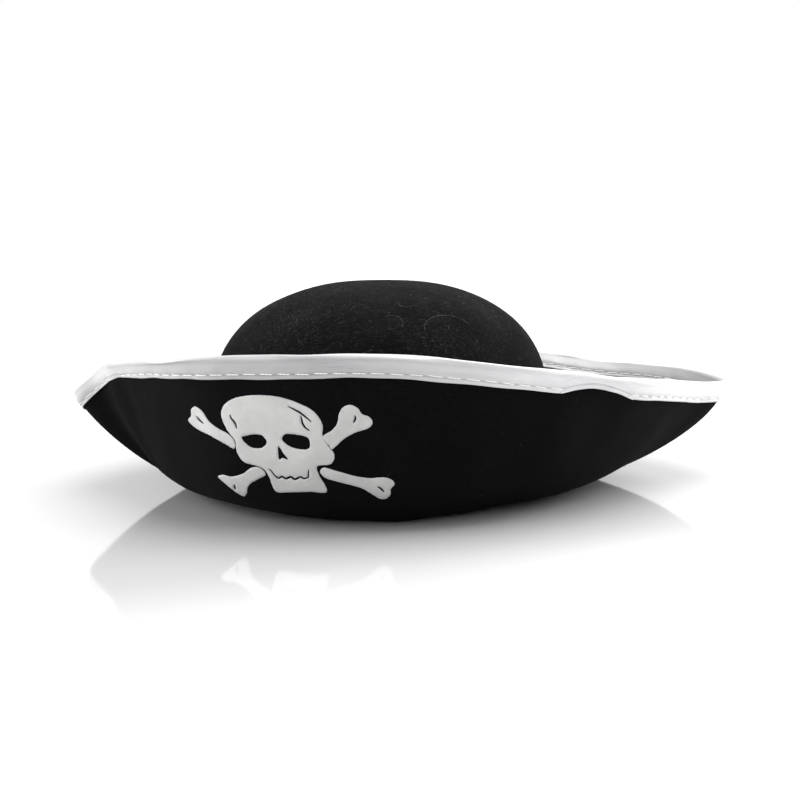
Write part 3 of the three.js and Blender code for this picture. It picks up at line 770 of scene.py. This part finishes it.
def surface_spots(piece, count, keep):
    """Random spots on a mesh in metres, spread by area and weight, and the normals there."""
    mesh = piece.data
    mesh.calc_loop_triangles()
    tris = np.empty(len(mesh.loop_triangles) * 3, int)
    mesh.loop_triangles.foreach_get("vertices", tris)
    tris = tris.reshape(-1, 3)
    verts = np.empty(len(mesh.vertices) * 3)
    mesh.vertices.foreach_get("co", verts)
    corners = verts.reshape(-1, 3)[tris]
    cross = np.cross(corners[:, 1] - corners[:, 0], corners[:, 2] - corners[:, 0])
    normal = unit(cross)
    weight = np.linalg.norm(cross, axis=1) * keep(corners.mean(1), normal)
    pick = random.choice(len(tris), count, p=weight / weight.sum())
    a, b = random.random(count), random.random(count)
    fold = a + b > 1
    a[fold], b[fold] = 1 - a[fold], 1 - b[fold]
    first, second, third = corners[pick].transpose(1, 0, 2)
    return first + a[:, None] * (second - first) + b[:, None] * (third - first), normal[pick]


def fibres(name, roots, material, length, radius, lift, curl):
    """Thin curved hairs on the felt, each a tapered three-sided tube; the ranges are in mm."""
    spots, normals = roots
    count, steps = len(spots), 5
    guide = unit(np.cross(normals, random.normal(size=(count, 3))))
    side = np.cross(normals, guide)
    share = np.linspace(0, 1, steps)[None, :, None]
    size = (random.uniform(*length, count) * MM)[:, None, None]
    bend = random.normal(0, curl, count)[:, None, None]
    rise = (random.uniform(*lift, count) * MM)[:, None, None]
    sunk = 0.0001  # metres that each hair starts inside the felt
    off = rise * share * (1.6 - share * 0.8) - sunk
    path = spots[:, None] + guide[:, None] * size * share \
        + side[:, None] * size * bend * share ** 2 + normals[:, None] * off
    along = unit(np.gradient(path, axis=1))
    across = unit(np.cross(along, normals[:, None]))
    up = np.cross(across, along)
    thick = (random.uniform(*radius, count) * MM)[:, None, None, None] * (1 - 0.75 * share[..., None])
    turn = np.linspace(0, 2 * math.pi, 3, endpoint=False)[:, None]
    rings = path[:, :, None] + (across[:, :, None] * np.cos(turn) + up[:, :, None] * np.sin(turn)) * thick
    quads = np.array(grid_faces(steps, 3))
    ends = np.array([[0, 2, 1], [steps * 3 - 3, steps * 3 - 2, steps * 3 - 1]])
    starts = np.arange(count)[:, None, None] * steps * 3
    faces = (quads[None] + starts).reshape(-1, 4).tolist() + (ends[None] + starts).reshape(-1, 3).tolist()
    piece = add_piece(name, rings.reshape(-1, 3) / MM - CENTRE, faces, material)


def plan_share(middle):
    """Places in mm round the head opening's middle, and how far out they are as a share of the crown."""
    local = middle / MM - CENTRE
    return local, np.hypot(local[:, 0] / CROWN_HALF_WIDTH, local[:, 1] / CROWN_HALF_DEPTH)


def outer_side(middle, normal):
    """Weight of the felt's outer faces; the crown's underside and the foot have none."""
    local, plan = plan_share(middle)
    in_head = (plan < 1.0) & (normal[:, 2] < 0.02) & (local[:, 2] > 3)
    inwards = (plan < 1.02) & (np.einsum("ij,ij->i", normal[:, :2], local[:, :2]) < 0)
    return np.where(in_head | inwards | (local[:, 2] < FUZZ_FOOT), 0.0, 1.0)


def on_crown(middle, normal):
    """Weight of the felt's outer faces, nearly all of it on the crown."""
    local, plan = plan_share(middle)
    return outer_side(middle, normal) * np.where((plan < 1.01) & (local[:, 2] > 35), 1.0, 0.05)


def loose_arc(material):
    """The long hairs that lie in arcs on the front of the crown."""
    # Middle of each arc and its reach, as plan angle and share of the height; its two ends; its radius.
    arcs = [((-60, 0.46), (11, 0.09), (10, 180), 0.065), ((-84, 0.52), (5, 0.05), (-40, 120), 0.045),
            ((-99, 0.62), (4, 0.04), (60, 200), 0.04), ((-74, 0.66), (4, 0.03), (150, 320), 0.045)]
    tubes = []
    for (angle, high), (wide, tall), ends, radius in arcs:
        path = []
        for turn in np.radians(np.linspace(*ends, 26)):
            point, normal = crown_spot(angle + wide * math.cos(turn), high + tall * math.sin(turn))
            path.append(point + normal * 0.15)
        tubes.append(tube(np.array(path), radius * np.linspace(1, 0.5, len(path)), 5))
    piece = add_tubes("crown_long_hairs", tubes, material)


# ---- Materials ----

# Painted sheen on the satin: tones from the left point (0) to the right point (1), over the hat's width
# in metres, darker in the middle and paler towards the points.
HAT_WIDTH = 0.36
SATIN_PAINTED_SHEEN = [(0.08, (0.47, 0.47, 0.475)), (0.15, (0.55, 0.55, 0.555)), (0.26, (0.37, 0.37, 0.375)),
               (0.42, (0.362, 0.362, 0.367)), (0.6, (0.51, 0.51, 0.517)), (0.74, (0.64, 0.64, 0.647)),
               (0.97, (0.56, 0.56, 0.567))]
# Painted shade and light across the ribbon: painted highlight at the outer hem, painted shade in the seam
# groove, plain satin, painted shade under the fold, the fold, painted shade on the inner side.
ACROSS_PAINTED_SHADE_AND_LIGHT = [(0.0, 1.0), (0.03, 0.97), (0.065, 0.93), (0.092, 0.62), (0.12, 0.95), (0.3, 0.96),
                (0.355, 0.88), (0.41, 1.0), (0.5, 0.86), (0.6, 0.52), (0.84, 0.5), (0.9, 0.34),
                (0.95, 0.56)]


class Look:
    """A procedural material, with short ways to the nodes that feed its shader."""

    def __init__(self, name, color, roughness, **sockets):
        self.material = bpy.data.materials.new(name)
        self.material.use_nodes = True
        self.tree = self.material.node_tree
        self.shader = self.tree.nodes["Principled BSDF"].inputs
        for socket, value in {"Base_Color": (*color, 1), "Roughness": roughness, **sockets}.items():
            self.shader[socket.replace("_", " ")].default_value = value

    def feed(self, value, socket):
        """Gives a socket the output of another node, a number, or a colour of three numbers."""
        if isinstance(value, bpy.types.NodeSocket):
            self.tree.links.new(value, socket)
        else:
            socket.default_value = (*value, 1) if socket.type == "RGBA" else value

    def node(self, kind, *values, **settings):
        """A new node: values for its first sockets, then other sockets and settings by name."""
        node = self.tree.nodes.new("ShaderNode" + kind)
        for key, value in settings.items():
            if key in node.inputs:
                node.inputs[key].default_value = value
            else:
                setattr(node, key, value)
        for value, socket in zip(values, node.inputs):
            self.feed(value, socket)
        return node

    def coordinates(self, kind="Object"):
        return self.node("TexCoord").outputs[kind]

    def axis(self, place, name):
        return self.node("SeparateXYZ", place).outputs[name]

    def math(self, operation, *values, kind="Math"):
        return self.node(kind, *values, operation=operation).outputs["Value"]

    def map_range(self, value, source, target, kind="SMOOTHSTEP"):
        return self.node("MapRange", value, *source, *target, interpolation_type=kind).outputs["Result"]

    def noise(self, place, scale, detail, roughness, distortion=0.0):
        return self.node("TexNoise", place, Scale=scale, Detail=detail, Roughness=roughness,
                         Distortion=distortion).outputs["Fac"]

    def streaks(self, place, scale, turn, detail, roughness, distortion=0.0):
        """Noise drawn out into fibres: its own scale along each axis, turned by three angles."""
        drawn = self.node("Mapping", place, Scale=scale, Rotation=turn).outputs["Vector"]
        return self.noise(drawn, 1.0, detail, roughness, distortion)

    def ramp(self, value, stops):
        node = self.node("ValToRGB", value)
        elements = node.color_ramp.elements
        while len(elements) < len(stops):
            elements.new(0.5)
        for element, (position, tone) in zip(elements, stops):
            element.position = position
            element.color = (*tone, 1) if isinstance(tone, tuple) else (tone, tone, tone, 1)
        return node.outputs["Color"]

    def above(self, value, low, high, top=1.0):
        """0 up to `low`, rising to `top` at `high`."""
        return self.ramp(value, [(low, 0.0), (high, top)])

    def mix(self, a, b, factor, mode="MIX"):
        node = self.node("Mix", factor, data_type="RGBA", blend_type=mode)
        for value, socket in zip((a, b), [s for s in node.inputs if s.type == "RGBA"]):
            self.feed(value, socket)
        return [s for s in node.outputs if s.type == "RGBA"][0]

    def finish(self, tone, bumps=()):
        """Feeds the base colour and a chain of bumps, each a height, a strength and a depth in metres."""
        self.feed(tone, self.shader["Base Color"])
        target = self.shader["Normal"]
        for height, strength, depth in reversed(bumps):
            node = self.node("Bump", Strength=strength, Distance=depth)
            self.feed(height, node.inputs["Height"])
            self.feed(node.outputs["Normal"], target)
            target = node.inputs["Normal"]
        return self.material


def crown_mask(look, place):
    """1 on the crown and 0 on the brim."""
    wide, deep = MASK_HALF
    plan = look.node("Mapping", place, Location=(-CENTRE[0] / wide, -CENTRE[1] / deep, 0),
                     Scale=(1000 / wide, 1000 / deep, 0)).outputs["Vector"]
    return look.ramp(look.math("LENGTH", plan, kind="VectorMath"), [(0.9, 1.0), (1.0, 0.0)])


def felt_material():
    """Matt black felt: matted fibres, paler lint and a soft bloom, more of both on the crown, and painted
    light that makes the crown paler towards its top.
    """
    look = Look("black_felt", (0.004, 0.004, 0.0045), 0.95, Specular_IOR_Level=0.03,
                Sheen_Roughness=0.6, Sheen_Tint=(0.8, 0.8, 0.78, 1))
    place = look.coordinates()
    crown = crown_mask(look, place)
    cloud = look.noise(place, 45, 5, 0.62)
    grain = look.noise(place, 1300, 3, 0.7)
    hair_a = look.streaks(place, (260, 1500, 900), (0.3, 0.5, 0.4), 4, 0.65, 1.2)
    hair_b = look.streaks(place, (1500, 300, 700), (1.1, 0.2, 1.9), 4, 0.65, 1.2)
    dark = look.mix((0.0015, 0.0015, 0.0019), (0.0036, 0.0036, 0.0041), cloud)
    bloom = look.mix((0.0001, 0.0001, 0.0002), (0.0024, 0.0024, 0.0025), look.above(cloud, 0.35, 0.68))
    flecks = look.mix((0.0065, 0.0065, 0.007), (0.026, 0.026, 0.0254), crown)
    tone = look.mix(dark, bloom, crown)
    tone = look.mix(tone, flecks, look.above(hair_a, 0.56, 0.74))
    tone = look.mix(tone, flecks, look.above(hair_b, 0.58, 0.76))
    patches = look.map_range(look.noise(place, 24, 3, 0.6), (0.36, 0.64), (0.72, 1.3))
    # Painted top light: the crown darker towards its foot and paler towards its top, over the random
    # patches.
    height = look.map_range(look.axis(place, "Z"), (0.055, 0.1), (0.62, 1.1))
    tone = look.mix(tone, look.math("MULTIPLY", patches, height), crown, "MULTIPLY")
    look.feed(look.ramp(crown, [(0.0, 0.007), (1.0, 0.0095)]), look.shader["Sheen Weight"])
    return look.finish(tone, [(cloud, 0.25, 0.0012), (hair_a, 0.35, 0.00035), (hair_b, 0.35, 0.00035),
                              (grain, 0.3, 0.0002)])


def ribbon_material():
    """Silver-white satin: fine lengthwise floats, a faint moire, painted sheen that makes it paler
    towards the hat's points, and painted shade and highlight across its width.
    """
    look = Look("satin_ribbon", (0.4, 0.4, 0.41), 0.34, Specular_IOR_Level=0.5, Anisotropic=0.5,
                Sheen_Weight=0.06, Sheen_Roughness=0.35, Sheen_Tint=(0.95, 0.96, 1.0, 1))
    uv, straight = look.coordinates("UV"), (0, 0, 0)
    floats = look.streaks(uv, (160, 9000, 1), straight, 3, 0.6)
    weft = look.streaks(uv, (5200, 300, 1), straight, 2, 0.5)
    moire = look.streaks(uv, (22, 260, 1), straight, 4, 0.55, 0.5)
    along = look.math("MULTIPLY_ADD", look.axis(look.coordinates(), "X"), 1 / HAT_WIDTH,
                      0.5 - CENTRE[0] * MM / HAT_WIDTH)
    across = look.math("MULTIPLY_ADD", look.axis(uv, "Y"), 1 / (RIBBON_CUT * 1.05), 0.0)
    # Painted sheen: darker in the middle of the front, paler towards the hat's points.
    tone = look.ramp(along, SATIN_PAINTED_SHEEN)
    tone = look.mix(tone, (0.84, 0.84, 0.85), look.ramp(moire, [(0.25, 1.0), (0.55, 0.0)]), "MULTIPLY")
    tone = look.mix(tone, (0.9, 0.9, 0.91), look.ramp(floats, [(0.3, 1.0), (0.6, 0.0)]), "MULTIPLY")
    # Painted shade in the seam groove, under the fold and on the inner side, and a painted highlight at
    # the outer hem.
    tone = look.mix(tone, look.ramp(across, ACROSS_PAINTED_SHADE_AND_LIGHT), 1.0, "MULTIPLY")
    look.feed(look.ramp(moire, [(0.3, 0.26), (0.75, 0.4)]), look.shader["Roughness"])
    return look.finish(tone, [(moire, 0.25, 0.0002), (floats, 0.25, 0.00006), (weft, 0.2, 0.00004)])


def thread_material(name, color, dark):
    look = Look(name, color, 0.6, Sheen_Weight=0.25, Sheen_Roughness=0.4)
    strand = look.noise(look.coordinates(), 2600, 3, 0.6)
    return look.finish(look.mix(dark, color, look.above(strand, 0.3, 0.6)), [(strand, 0.4, 0.00008)])


def print_material():
    """Off-white print: even tone, worn thin in specks where felt fibres come through."""
    look = Look("white_print", (0.48, 0.479, 0.475), 0.62, Specular_IOR_Level=0.3)
    place = look.coordinates()
    mottle = look.noise(place, 90, 5, 0.65)
    speck = look.noise(place, 900, 4, 0.7)
    hair = look.streaks(place, (300, 1300, 1100), (0.4, 0.9, 0.2), 3, 0.6, 0.8)
    tone = look.mix((0.385, 0.384, 0.38), (0.455, 0.454, 0.45), look.above(mottle, 0.35, 0.68))
    tone = look.mix(tone, (0.26, 0.26, 0.257), look.above(speck, 0.68, 0.84, 0.6))
    tone = look.mix(tone, (0.31, 0.31, 0.305), look.above(hair, 0.66, 0.82, 0.4))
    return look.finish(tone, [(mottle, 0.2, 0.0004), (speck, 0.35, 0.00015), (hair, 0.3, 0.00015)])


def tape_material():
    """Black woven tape with ribs across its width."""
    look = Look("black_tape", (0.015, 0.015, 0.017), 0.7, Sheen_Weight=0.2, Sheen_Roughness=0.4)
    ribs = look.node("TexWave", look.coordinates("UV"), wave_type="BANDS", bands_direction="X",
                     Scale=300.0, Distortion=0.4).outputs["Fac"]
    tone = look.mix((0.01, 0.01, 0.011), (0.03, 0.03, 0.033), ribs)
    return look.finish(tone, [(ribs, 0.5, 0.0002)])


def label_material():
    look = Look("label_satin", (0.78, 0.78, 0.76), 0.5, Sheen_Weight=0.1)
    weave = look.streaks(look.coordinates(), (3000, 3000, 800), (0, 0, 0), 3, 0.5)
    return look.finish(look.mix((0.7, 0.7, 0.68), (0.82, 0.82, 0.8), weave), [(weave, 0.3, 0.00005)])


def hair_material(name, low, high):
    """Loose fibres, each patch a little different in tone."""
    look = Look(name, high, 0.8, Specular_IOR_Level=0.05)
    patch = look.noise(look.coordinates(), 420, 2, 0.6)
    return look.finish(look.mix(low, high, look.above(patch, 0.35, 0.65)))


def floor_material():
    """Pale glossy sheet: its mirror image fades towards the viewer; paler far off, where it glows, and
    paler to the right with painted light.
    """
    look = Look("glossy_white_floor", (0.43, 0.43, 0.43), 0.06, Emission_Color=(1, 1, 1, 1))
    place = look.coordinates()
    slanted = look.math("DOT_PRODUCT", place, (-0.4, 1.0, 0.0), kind="VectorMath")
    nearness = look.map_range(slanted, (-0.39, -0.19), (0.0, 1.0), "LINEAR")
    look.feed(look.math("POWER", nearness, 6.0), look.shader["Specular IOR Level"])
    reach = look.math("LENGTH", place, kind="VectorMath")
    look.feed(look.map_range(reach, (0.45, 1.6), (0.0, 0.6)), look.shader["Emission Strength"])
    # Painted light: the floor's colour is paler to the right of the hat.
    return look.finish(look.map_range(look.axis(place, "X"), (-0.01, 0.14), (0.43, 0.51)))


# ---- Stage, lights and camera ----

def stage():
    """A wide, pale, glossy floor."""
    work = bmesh.new()
    bmesh.ops.create_grid(work, x_segments=8, y_segments=8, size=6.0)
    mesh = bpy.data.meshes.new("floor")
    work.to_mesh(mesh)
    work.free()
    mesh.materials.append(floor_material())
    floor = add_object("floor", mesh)


def softbox(name, place, target, size, power):
    light = bpy.data.lights.new(name, "AREA")
    light.shape = "RECTANGLE"
    light.size, light.size_y = size
    light.energy = power
    lamp = add_object(name, light)
    lamp.location = place
    lamp.rotation_mode = "QUATERNION"
    lamp.rotation_quaternion = (Vector(target) - Vector(place)).to_track_quat("-Z", "Y")


def lights():
    world = bpy.data.worlds.new("studio")
    bpy.context.scene.world = world
    world.use_nodes = True
    background = world.node_tree.nodes["Background"].inputs
    background["Color"].default_value = (1, 1, 1, 1)
    background["Strength"].default_value = 1.0
    softbox("top_softbox", (0.15, 0.1, 1.5), (0, 0, 0.05), (1.6, 1.2), 34)
    softbox("front_softbox", (-0.7, -1.5, 1.0), (0, 0, 0.05), (1.0, 0.8), 2.6)
    softbox("left_softbox", (-1.0, -0.1, 0.36), (-0.1, 0, 0.03), (0.8, 0.6), 10)
    softbox("right_softbox", (1.0, 0.3, 0.6), (0.1, 0, 0.05), (0.8, 0.8), 21)


def camera():
    """Seen from the front, a little above, and rolled a degree."""
    rise, roll = math.radians(CAMERA_ELEVATION), math.radians(CAMERA_ROLL)
    back = Vector((0, -math.cos(rise), math.sin(rise)))
    level_up = Vector((0, math.sin(rise), math.cos(rise)))
    right = Vector((1, 0, 0)) * math.cos(roll) - level_up * math.sin(roll)
    up = level_up * math.cos(roll) + Vector((1, 0, 0)) * math.sin(roll)
    aim = Vector(CENTRE.tolist()) + Vector(CAMERA_AIM)
    data = bpy.data.cameras.new("camera")
    data.lens = CAMERA_LENS
    data.sensor_width = 36.0
    lens = add_object("camera", data)
    place = (aim + back * CAMERA_DISTANCE) * MM
    turn = Matrix((right, up, back)).transposed().to_4x4()
    lens.matrix_world = Matrix.Translation(place) @ turn
    bpy.context.scene.camera = lens


def build():
    camera()
    stage()
    lights()
    hat = felt_body(felt_material())
    edge_ribbon(ribbon_material())
    stitches(thread_material("white_thread", (0.82, 0.82, 0.81), (0.6, 0.6, 0.595)))
    prints(print_material())
    black_thread = thread_material("black_thread", (0.03, 0.03, 0.033), (0.015, 0.015, 0.017))
    sweatband(tape_material(), black_thread)
    care_label(label_material())
    dark = hair_material("felt_hair", (0.003, 0.003, 0.0034), (0.011, 0.011, 0.0115))
    pale = hair_material("lint", (0.05, 0.05, 0.05), (0.16, 0.16, 0.155))
    fibres("felt_fuzz", surface_spots(hat, 7500, outer_side), dark,
           length=(1.0, 3.2), radius=(0.02, 0.035), lift=(0.1, 0.8), curl=0.5)
    fibres("felt_lint", surface_spots(hat, 420, on_crown), pale,
           length=(1.2, 4.5), radius=(0.03, 0.055), lift=(0.05, 0.3), curl=0.7)
    loose_arc(pale)
    bpy.context.scene.view_settings.view_transform = "Standard"


build()
